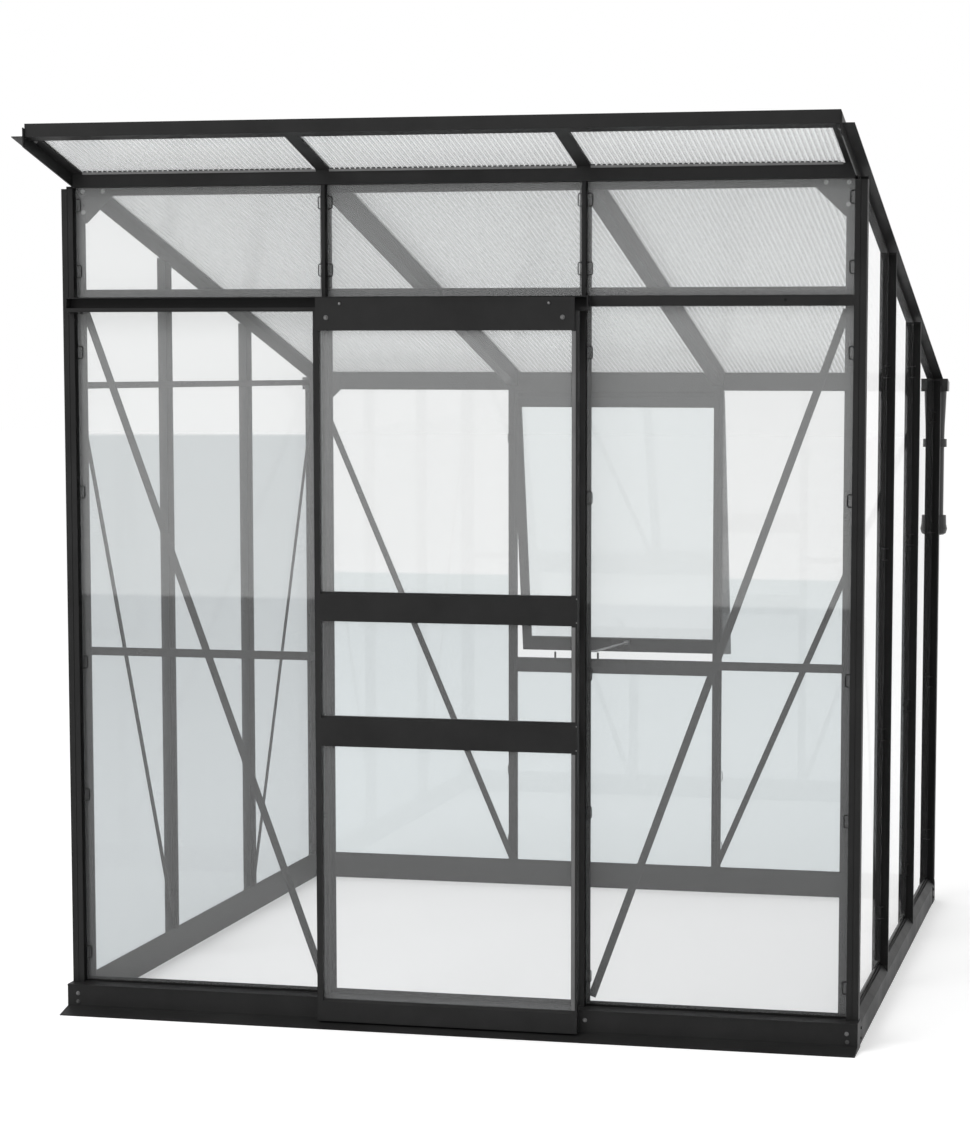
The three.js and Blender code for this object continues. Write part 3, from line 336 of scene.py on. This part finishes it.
# Glass of the other walls, by the start of the nodes' names
# On these panes the haze, and the paler zone above the line where there is one, are painted
# reflection of a bright room
PANES = {
    "pane_rear": window_glass(
        "glass_rear", ((0.80, 0.845, 0.855), 0.95), (CLEAR_TONE, 0.92), line=0.94, ior=1.45),
    "sash_pane": window_glass(
        "glass_window", (WINDOW_TONE, 0.95), (WINDOW_TONE, 0.95), line=0.94, ior=1.45),
    "pane_left": window_glass(
        "glass_left", ((0.64, 0.673, 0.686), 0.98), (CLEAR_TONE, 0.98),
        line=1.378, tilt=-0.022, ior=1.05, ripple=0.001),
    "pane_right": window_glass(
        "glass_right", ((0.84, 0.84, 0.845), 0.97), (CLEAR_TONE, 0.98),
        line=1.395, ior=1.5, ripple=0.0005, coat=1.0),
}
SHEETS = ("sheet_left", "sheet_middle", "sheet_right")
SPRING_WIRE = powder_coat("spring_wire", 0.014, roughness=0.34)
BOLT_METAL = bright_metal("bolt_metal", grey(0.16), roughness=0.42)
DARK_BOLT = powder_coat("bolt_black", 0.02, roughness=0.3)
LOW_BOLT = moulded_plastic("bolt_low", grey(0.045), roughness=0.4, grain=500.0)
PALE_BOLT = moulded_plastic("bolt_pale", grey(0.2), roughness=0.4, grain=500.0)
STAY_METAL = bright_metal("stay_metal", grey(0.22), roughness=0.35)
# Black for the transom plug, and for strips that are painted shade beside the ribs and under the
# panes
PLUG_AND_SHADE_BLACK = moulded_plastic("plug_black_and_painted_shade", grey(0.004), roughness=0.6, grain=900.0, gloss=0.15)
# Light grey for strips that are painted highlights under the verges and along the door stile
HIGHLIGHT_GREY = moulded_plastic("painted_highlight_strip", grey(0.13), roughness=0.6, grain=900.0, gloss=0.2)
# Near black for teeth that are painted shade in the flutes' ends
FLUTE_SHADE_BLACK = moulded_plastic("painted_flute_shade", grey(0.035), roughness=0.5, grain=900.0)
# Grey closure foam, which also stands for the shade under the sheets' front edge
FOAM_AND_GAP_SHADE = moulded_plastic("closure_foam_and_painted_shade", grey(0.16), roughness=0.8, grain=900.0, gloss=0.2)


def dress_frame():
    """Gives every solid of the CAD its material."""
    slots = {entry["node"]: entry["material_slot"] for entry in frame["record"]["subparts"]}
    own = {node: twin_wall("ribbed_" + node, node) for node in SHEETS}
    own["window_stay"] = STAY_METAL
    for node, cad in frame["nodes"].items():
        group = next((name for name in PANES if node.startswith(name)), None)
        material = own.get(node) or PANES.get(group) or MATERIALS[slots[node]]
        if not cad.material_slots:
            cad.data.materials.append(material)
        for material_slot in cad.material_slots:
            material_slot.material = material


# Mesh building
def piece(name, mesh, material, body, smooth=False):
    """Turns a bmesh into a named piece that rides on a body."""
    data = bpy.data.meshes.new(name)
    bmesh.ops.recalc_face_normals(mesh, faces=mesh.faces)
    if smooth:
        for face in mesh.faces:
            face.smooth = True
    mesh.to_mesh(data)
    mesh.free()
    data.materials.append(material)
    obj = bpy.data.objects.new(name, data)
    bpy.context.scene.collection.objects.link(obj)
    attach(obj, body)
    return obj


def circle(mesh, centre, side, other, radius, sides):
    """A ring of vertices around a centre."""
    angles = [2 * math.pi * i / sides for i in range(sides)]
    spokes = [side * math.cos(a) + other * math.sin(a) for a in angles]
    return [mesh.verts.new(centre + radius * spoke) for spoke in spokes]


def skin(mesh, loops):
    """Joins loops of vertices into one closed form."""
    count = len(loops[0])
    for a, b in zip(loops, loops[1:]):
        for i in range(count):
            j = (i + 1) % count
            mesh.faces.new((a[i], a[j], b[j], b[i]))
    mesh.faces.new(reversed(loops[0]))
    mesh.faces.new(loops[-1])


def add_turned(mesh, place, axis, form, radius, height, sides):
    """A closed turned form that stands on a place along an axis."""
    axis = Vector(axis).normalized()
    side = axis.orthogonal().normalized()
    other = axis.cross(side)
    skin(mesh, [
        circle(mesh, Vector(place) + axis * height * rise, side, other, radius * reach, sides)
        for reach, rise in form
    ])


# Turned forms, as rings of (share of the radius, share of the height)
HEAD_BASE = 0.27
WASHER = ((1.35, 0.0), (1.35, 0.2), (1.269, HEAD_BASE))
HEXAGON = ((1.0, HEAD_BASE), (1.0, 0.75 + HEAD_BASE), (0.8, 1.0 + HEAD_BASE))
PAN_HEAD = ((1.0, 0.0), (1.0, 0.35), (0.86, 0.8), (0.45, 1.0))
RIVET = ((1.0, -1.0), (1.0, 0.5), (0.8727, 1.0))
PLUG = ((1.0, 0.0), (1.0, 2 / 3), (0.7647, 1.0))


def add_bolt(mesh, place, axis, radius, height):
    """A hexagon head on a round washer, with a domed top."""
    add_turned(mesh, place, axis, WASHER, radius, height, sides=20)
    add_turned(mesh, place, axis, HEXAGON, radius, height, sides=6)


def add_screw(mesh, place, axis, radius, height):
    """A pan-head screw."""
    add_turned(mesh, place, axis, PAN_HEAD, radius, height, sides=16)


def add_rod(mesh, start, end, profile, up):
    """A straight strip whose section is a list of (across, up) points."""
    start, end, up = Vector(start), Vector(end), Vector(up)
    way = (end - start).normalized()
    up = (up - way * up.dot(way)).normalized()
    across = way.cross(up)
    skin(mesh, [
        [mesh.verts.new(at + across * a + up * b) for a, b in profile] for at in (start, end)
    ])


BEAD_WALL = 0.3
BEAD_STEPS = 5


def bead(width, height):
    """A half-round section on short upright walls."""
    angles = [math.pi * i / BEAD_STEPS for i in range(BEAD_STEPS + 1)]
    arch = [
        (-width / 2 * math.cos(a), height * (BEAD_WALL + (1 - BEAD_WALL) * math.sin(a)))
        for a in angles
    ]
    return [(-width / 2, 0.0), *arch, (width / 2, 0.0)]


def add_wire(mesh, points, radius, sides=6):
    """A round wire along a path."""
    points = [Vector(p) for p in points]
    loops = []
    side = None
    for i, point in enumerate(points):
        ahead = points[min(i + 1, len(points) - 1)]
        behind = points[max(i - 1, 0)]
        way = (ahead - behind).normalized()
        side = way.orthogonal() if side is None else side - way * side.dot(way)
        side.normalize()
        loops.append(circle(mesh, point, side, way.cross(side), radius, sides))
    skin(mesh, loops)


# A place on a wall: u along it, v inward from its outer face, z up
def on_front(u, v, z):
    return Vector((u, FRONT + v, z))


def on_rear(u, v, z):
    return Vector((u, REAR - v, z))


def on_side(hand):
    def place(u, v, z):
        return Vector((hand * (RIGHT - v), u, z))
    return place


# Fasteners. Places along the front are measured from the left post's outer face.
SILL_BOLTS = ((0.024, 0.044), (1.284, 0.0425), (1.897, 0.0416))
LOW_SILL_BOLTS = ((0.024, 0.024), (1.8986, 0.0226))
SILL_BOLT = (0.0038, 0.0028)
HEADER_RIVETS = ((0.096, 1.974), (0.045, 1.974), (0.046, 1.925))
RIVET_RADIUS = 0.0055
HANGER_BOLTS = (0.673, 1.235)
HANGER_BOLTS_Z = 1.673
HANGER_BOLT = (0.0041, 0.0035)
AXLE_SCREWS = (0.706, 1.203)
AXLE_SCREWS_Z = 1.705
AXLE_SCREW = (0.0034, 0.0026)
STILE_SCREWS_Z = (0.679, 0.735, 0.975, 1.030)
STILE_SCREWS_INSET = 0.002
STILE_SCREW = (0.0015, 0.0008)
VERGE_NUT_REACH = 0.226
VERGE_NUT_INSET = FLANGE_FACE + 0.011
VERGE_NUT = (0.0036, 0.0028)
TRACK_BOLTS = (0.025, 0.054)
TRACK_BOLTS_REACH = 0.018
TRACK_BOLT = (0.0045, 0.004)
TRANSOM_PLUG_PLACE = (0.777, 1.712)
TRANSOM_PLUG = (0.0034, 0.0006)
BASE_BOLTS_INSET = 0.045
BASE_BOLTS_Z = (0.016, 0.040)
ROOF_SCREW_ROWS = ((BAR_X, RAFTER_TOP), (RIGHT - VERGE_FIN_INSET, VERGE_FIN_TOP))
ROOF_SCREW_COUNT = 6
ROOF_SCREW_START = FRONT - 0.05
ROOF_SCREW_STEP = 0.37
ROOF_SCREW = (0.0042, 0.0024)

# Plates that close the rear base rail's ends and hold it to the side rails: inward and up
CORNER_PLATE = 0.0012
CORNER_OUTLINE = (
    (0.0, 0.0), (0.062, 0.0), (0.062, 0.049), (0.0262, 0.049),
    (0.0262, SILL_TOP), (0.014, SILL_TOP), (0.0, 0.050),
)


def add_front_fasteners():
    for name, places, material in (
        ("bolts_sill", SILL_BOLTS, BOLT_METAL),
        ("bolts_sill_low", LOW_SILL_BOLTS, LOW_BOLT),
    ):
        mesh = bmesh.new()
        for x, z in places:
            add_bolt(mesh, (LEFT + x, FRONT - SILL_FACE, z), TOWARD, *SILL_BOLT)
        piece(name, mesh, material, "frame")

    mesh = bmesh.new()
    for hand in HANDS:
        for inset, z in HEADER_RIVETS:
            place = (hand * (RIGHT - inset), FRONT + FLANGE_FACE, z)
            add_turned(mesh, place, TOWARD, RIVET, RIVET_RADIUS, EPS, sides=16)
    piece("rivets_header", mesh, PALE_BOLT, "frame")


def add_door_fasteners():
    mesh = bmesh.new()
    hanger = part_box("door_hanger")[0][1]
    for x in HANGER_BOLTS:
        add_bolt(mesh, (LEFT + x, hanger, HANGER_BOLTS_Z), TOWARD, *HANGER_BOLT)
    for x in AXLE_SCREWS:
        add_screw(mesh, (LEFT + x, hanger, AXLE_SCREWS_Z), TOWARD, *AXLE_SCREW)
    piece("bolts_door", mesh, BOLT_METAL, "door")

    mesh = bmesh.new()
    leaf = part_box("door_frame")
    for z in STILE_SCREWS_Z:
        place = (leaf[1][0] - STILE_SCREWS_INSET, leaf[0][1], z)
        add_screw(mesh, place, TOWARD, *STILE_SCREW)
    piece("screws_door", mesh, PALE_BOLT, "door")


def add_frame_fasteners():
    mesh = bmesh.new()
    y = FRONT - VERGE_NUT_REACH
    for hand in HANDS:
        place = (hand * (RIGHT - VERGE_NUT_INSET), y, roof_z(y))
        add_bolt(mesh, place, (0, -ROOF_SLOPE, -1), *VERGE_NUT)
    piece("verge_nuts", mesh, PALE_BOLT, "frame")

    mesh = bmesh.new()
    track_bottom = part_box("door_track")[0][2]
    for x in TRACK_BOLTS:
        add_bolt(mesh, (LEFT + x, FRONT - TRACK_BOLTS_REACH, track_bottom), DOWN, *TRACK_BOLT)
    piece("bolts_track", mesh, DARK_BOLT, "frame")

    mesh = bmesh.new()
    x, z = TRANSOM_PLUG_PLACE
    place = (x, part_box("transom_rail")[0][1], z)
    add_turned(mesh, place, TOWARD, PLUG, *TRANSOM_PLUG, sides=16)
    piece("transom_plug", mesh, PLUG_AND_SHADE_BLACK, "frame")

    mesh = bmesh.new()
    for hand in HANDS:
        for y, face in (
            (FRONT + BASE_BOLTS_INSET, RIGHT),
            (REAR - BASE_BOLTS_INSET, RIGHT + CORNER_PLATE),
        ):
            for z in BASE_BOLTS_Z:
                add_bolt(mesh, (hand * face, y, z), (hand, 0, 0), *SILL_BOLT)
    piece("bolts_base", mesh, DARK_BOLT, "frame")

    mesh = bmesh.new()
    for hand in HANDS:
        start, end = (Vector((hand * x, REAR, 0)) for x in (RIGHT, RIGHT + CORNER_PLATE))
        add_rod(mesh, start, end, [(hand * inward, z) for inward, z in CORNER_OUTLINE], UP)
    piece("corner_plates", mesh, MATERIALS["black_coating"], "frame")

    mesh = bmesh.new()
    for i in range(ROOF_SCREW_COUNT):
        y = ROOF_SCREW_START + ROOF_SCREW_STEP * i
        for x, rise in ROOF_SCREW_ROWS:
            for hand in HANDS:
                place = (hand * x, y, roof_z(y, rise))
                add_screw(mesh, place, (0, ROOF_SLOPE, 1), *ROOF_SCREW)
    piece("roof_screws", mesh, BOLT_METAL, "frame")


# Glazing clips: a wire loop that springs from the rib onto the glass
CLIP_WIRE = 0.0012
CLIP_HALF = 0.0145
CLIP_REACH = 0.0125
CLIP_RISE = 0.008
CLIP_BEND = 0.004
CLIP_DIP = 0.002
CLIP_ROUND = (0.002, 0.003)
CLIP_CORNER = 0.0006
CLIP_EASE = 0.0003
FRONT_CLIPS_Z = (1.941, 1.785, 1.593, 1.259, 0.849, 0.525, 0.137)
REAR_CLIPS_Z = (1.35, 0.85, 0.35, 0.137)
SIDE_CLIPS_Z = (1.55, 1.1, 0.65, 0.2)
REAR_POST_CLIP_TOP = 1.42


def clip_path(edge, hand, z):
    """Points of one clip beside a rib edge, springing to the given hand."""
    low = GLASS_FACE - CLIP_WIRE - CLIP_EASE
    across, along = CLIP_ROUND
    half = [
        (0.0, GLASS_FACE - CLIP_RISE, CLIP_HALF),
        (CLIP_BEND, low - CLIP_DIP, CLIP_HALF),
        (CLIP_REACH - across, low, CLIP_HALF - CLIP_CORNER),
        (CLIP_REACH, low, CLIP_HALF - along),
    ]
    below = [(edge + hand * u, v, z - w) for u, v, w in half]
    above = [(edge + hand * u, v, z + w) for u, v, w in reversed(half)]
    return [*below, (edge + hand * CLIP_REACH, low, z), *above]


def add_clips():
    mesh = bmesh.new()

    def clip(wall, edge, hand, z):
        add_wire(mesh, [wall(*p) for p in clip_path(edge, hand, z)], CLIP_WIRE)

    for z in FRONT_CLIPS_Z:
        clip(on_front, LEFT + POST_EDGE, 1, z)
        clip(on_front, RIGHT - POST_EDGE, -1, z)
        for hand in HANDS:
            clip(on_front, hand * (BAR_X + RIB_HALF), hand, z)
            if z > TRANSOM_TOP:
                clip(on_front, hand * (BAR_X - RIB_HALF), -hand, z)
    for z in REAR_CLIPS_Z:
        clip(on_rear, LEFT + POST_EDGE, 1, z)
        clip(on_rear, RIGHT - POST_EDGE, -1, z)
        for hand in HANDS:
            clip(on_rear, hand * (BAR_X + RIB_HALF), hand, z)
    for side_hand in HANDS:
        side = on_side(side_hand)
        for z in SIDE_CLIPS_Z:
            clip(side, FRONT + POST_EDGE, 1, z)
            clip(side, REAR - POST_EDGE, -1, min(z, REAR_POST_CLIP_TOP))
            for i in range(1, SIDE_BAYS):
                for hand in HANDS:
                    clip(side, FRONT + i * BAY_Y + hand * RIB_HALF, hand, z)
    piece("glazing_clips", mesh, SPRING_WIRE, "frame", smooth=True)


# Black strips down the side of every rib and under every pane, which are painted shade in those
# corners;
# light grey strips under each verge and one beside each pane of the door, which are painted
# highlights along those edges
SHADE_STRIP_DEPTH = 0.0105
SHADE_STRIP_BEAD = bead(0.0180, 0.0008)
SILL_SHADE_DEPTH = 0.0192
SILL_SHADE_BEAD = bead(0.0016, 0.005)
SILL_SHADE_CLEARANCE = 0.0015
BAR_CLEARANCE = 0.0055
SIDE_GLASS_DROP = 0.0225
LOW_LIGHT = (SILL_TOP + 0.0005, 1.6975)
TOP_LIGHT = (1.7425, 1.9815)
VERGE_HIGHLIGHT_SPAN = (FRONT - 0.268, FRONT - 0.004)
VERGE_BEAD = bead(0.0028, 0.0008)
DOOR_HIGHLIGHT_INSET = DOOR_STILE - 0.0050
DOOR_HIGHLIGHT_EASE = 0.008
DOOR_BEAD = bead(0.0090, 0.0012)
DOOR_PANES = ("door_pane_1", "door_pane_2", "door_pane_3")


def add_shade_strips():
    mesh = bmesh.new()

    # A black strip down a rib's side: painted shade in the corner beside the glass
    def upright(wall, edge, hand, low, high):
        start, end = wall(edge, SHADE_STRIP_DEPTH, low), wall(edge, SHADE_STRIP_DEPTH, high)
        outward = wall(edge + hand, SHADE_STRIP_DEPTH, low) - start
        add_rod(mesh, start, end, SHADE_STRIP_BEAD, outward)

    # A black strip under a pane: painted shade where the glass meets the sill
    def level(wall, u0, u1):
        start, end = wall(u0, SILL_SHADE_DEPTH, SILL_TOP), wall(u1, SILL_SHADE_DEPTH, SILL_TOP)
        add_rod(mesh, start, end, SILL_SHADE_BEAD, UP)

    for light in (LOW_LIGHT, TOP_LIGHT):
        for hand in HANDS:
            upright(on_front, hand * (RIGHT - POST_EDGE), -hand, *light)
            upright(on_front, hand * (BAR_X + RIB_HALF), hand, *light)
            if light == TOP_LIGHT:
                upright(on_front, hand * (BAR_X - RIB_HALF), -hand, *light)
    near, far = BAR_X + BAR_CLEARANCE, RIGHT - POST_EDGE - SILL_SHADE_CLEARANCE
    for hand in HANDS:
        upright(on_rear, hand * (RIGHT - POST_EDGE), -hand, SILL_TOP, EAVES_BOTTOM)
        upright(on_rear, hand * (BAR_X + RIB_HALF), hand, SILL_TOP, EAVES_BOTTOM)
        for wall in (on_front, on_rear):
            level(wall, hand * near, hand * far)
    level(on_rear, BAR_CLEARANCE - BAR_X, BAR_X - BAR_CLEARANCE)

    bars = [FRONT + i * BAY_Y for i in range(1, SIDE_BAYS)]
    starts = [FRONT + POST_EDGE, *(y + RIB_HALF for y in bars)]
    ends = [*(y - RIB_HALF for y in bars), REAR - POST_EDGE]
    for side in map(on_side, HANDS):
        for start, end in zip(starts, ends):
            upright(side, start, 1, SILL_TOP, roof_z(start) - SIDE_GLASS_DROP)
            upright(side, end, -1, SILL_TOP, roof_z(end) - SIDE_GLASS_DROP)
            level(side, start + SILL_SHADE_CLEARANCE, end - SILL_SHADE_CLEARANCE)
    piece("painted_shade_strips", mesh, PLUG_AND_SHADE_BLACK, "frame")


def add_highlight_strips():
    mesh = bmesh.new()
    # A light grey strip under each verge: a painted highlight along its lower edge
    for hand in HANDS:
        x = hand * (RIGHT - VERGE_WEB_INSET)
        start, end = ((x, y, roof_z(y, VERGE_WEB_DROP)) for y in VERGE_HIGHLIGHT_SPAN)
        add_rod(mesh, start, end, VERGE_BEAD, DOWN)
    piece("verge_highlight_strips", mesh, HIGHLIGHT_GREY, "frame")

    mesh = bmesh.new()
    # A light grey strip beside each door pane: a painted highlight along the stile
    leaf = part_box("door_frame")
    x, face = leaf[1][0] - DOOR_HIGHLIGHT_INSET, leaf[0][1]
    for pane in DOOR_PANES:
        bottom, top = (corner[2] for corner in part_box(pane))
        start, end = (x, face, bottom + DOOR_HIGHLIGHT_EASE), (x, face, top - DOOR_HIGHLIGHT_EASE)
        add_rod(mesh, start, end, DOOR_BEAD, TOWARD)
    piece("door_highlight_strip", mesh, HIGHLIGHT_GREY, "door")


# Closure between the header and the ribbed sheets: a grey foam strip that also stands for the shade
# in that gap, with dark teeth that are painted shade in the flutes' ends
CLOSURE_FACE = FRONT - EPS
CLOSURE_FLOOR = ROOF_HEIGHT - 0.0040
CLOSURE_TOP = roof_z(CLOSURE_FACE - 0.004, SHEET_BOTTOM) - EPS
CLOSURE_DEPTH = 0.0022
CLOSURE_POST_EASE = 0.055
CLOSURE_BAR_EASE = 0.0165
TOOTH_HEIGHT = 0.0030
TOOTH_DEPTH = 0.0028
TOOTH_START = 0.2
TOOTH_SHARE = 0.62


def block(depth, low, high):
    """The section of a strip that stands out from the closure's face."""
    return [(depth, low), (0.0, low), (0.0, high), (depth, high)]


def add_closure():
    strip = bmesh.new()
    teeth = bmesh.new()
    near = BAR_X + CLOSURE_BAR_EASE
    spans = (
        (max(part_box("sheet_left")[0][0], LEFT + CLOSURE_POST_EASE), -near),
        (CLOSURE_BAR_EASE - BAR_X, BAR_X - CLOSURE_BAR_EASE),
        (near, min(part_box("sheet_right")[1][0], RIGHT - CLOSURE_POST_EASE)),
    )
    for x0, x1 in spans:
        section = block(CLOSURE_DEPTH, CLOSURE_FLOOR, CLOSURE_TOP - TOOTH_HEIGHT)
        add_rod(strip, (x0, CLOSURE_FACE, 0), (x1, CLOSURE_FACE, 0), section, UP)
        section = block(TOOTH_DEPTH, CLOSURE_TOP - TOOTH_HEIGHT, CLOSURE_TOP)
        # Dark teeth: painted shade in the flutes' ends
        for i in range(int((x1 - x0) / FLUTE_PITCH)):
            a = x0 + (i + TOOTH_START) * FLUTE_PITCH
            b = a + FLUTE_PITCH * TOOTH_SHARE
            add_rod(teeth, (a, CLOSURE_FACE, 0), (b, CLOSURE_FACE, 0), section, UP)
    piece("closure_strip", strip, FOAM_AND_GAP_SHADE, "frame")
    piece("closure_shade_teeth", teeth, FLUTE_SHADE_BLACK, "frame")


# Stage
FLOOR_REACH = 60.0
FLOOR_GLOW = 0.28
WORLD_LIGHT = 0.8
WORLD_SEEN = 1.0
WHITE = (1.0, 1.0, 1.0, 1.0)
KEY_ENERGY = 260.0
KEY_SIZE = (5.0, 4.0)
KEY_PLACE = Vector((-3.5, -5.5, 5.5))
KEY_AIM = Vector((0.0, 0.0, 0.8))


def seen_by_camera(tree):
    """One where the camera looks, directly or by way of glass or a gloss, and nought for light."""
    light = tree.nodes.new("ShaderNodeLightPath")
    value = light.outputs["Is Camera Ray"]
    for name in ("Is Glossy Ray", "Is Transmission Ray"):
        node = tree.nodes.new("ShaderNodeMath")
        node.operation = "MAXIMUM"
        tree.links.new(value, node.inputs[0])
        tree.links.new(light.outputs[name], node.inputs[1])
        value = node.outputs[0]
    return value


def floor_white():
    m = Nodes("floor_white")
    faint = m.noise(scale=0.8, detail=2.0)
    m.feed("Base Color", m.ramp(faint, grey(0.90), grey(0.92)))
    m.feed("Roughness", m.ramp(faint, grey(0.7), grey(0.75)))
    m.set(Specular_IOR_Level=0.0, Emission_Color=WHITE)
    m.feed("Emission Strength", m.math("MULTIPLY", seen_by_camera(m.tree), FLOOR_GLOW))
    return m.material


def add_floor():
    mesh = bmesh.new()
    corners = ((-1, -1), (1, -1), (1, 1), (-1, 1))
    mesh.faces.new([mesh.verts.new((FLOOR_REACH * x, FLOOR_REACH * y, 0.0)) for x, y in corners])
    data = bpy.data.meshes.new("floor")
    mesh.to_mesh(data)
    mesh.free()
    data.materials.append(floor_white())
    floor = bpy.data.objects.new("floor", data)
    bpy.context.scene.collection.objects.link(floor)


def add_light():
    world = bpy.data.worlds.new("studio")
    bpy.context.scene.world = world
    world.use_nodes = True
    tree = world.node_tree
    background = tree.nodes["Background"]
    strength = tree.nodes.new("ShaderNodeMapRange")
    strength.inputs["To Min"].default_value = WORLD_LIGHT
    strength.inputs["To Max"].default_value = WORLD_SEEN
    tree.links.new(seen_by_camera(tree), strength.inputs["Value"])
    tree.links.new(strength.outputs["Result"], background.inputs["Strength"])
    background.inputs["Color"].default_value = WHITE

    key = bpy.data.lights.new("key", "AREA")
    key.energy = KEY_ENERGY
    key.shape = "RECTANGLE"
    key.size, key.size_y = KEY_SIZE
    lamp = bpy.data.objects.new("key", key)
    lamp.location = KEY_PLACE
    lamp.rotation_euler = (KEY_AIM - KEY_PLACE).to_track_quat("-Z", "Y").to_euler()
    bpy.context.scene.collection.objects.link(lamp)


bpy.context.scene.view_settings.view_transform = "Standard"
add_camera()
dress_frame()
add_front_fasteners()
add_door_fasteners()
add_frame_fasteners()
add_clips()
add_shade_strips()
add_highlight_strips()
add_closure()
add_floor()
add_light()
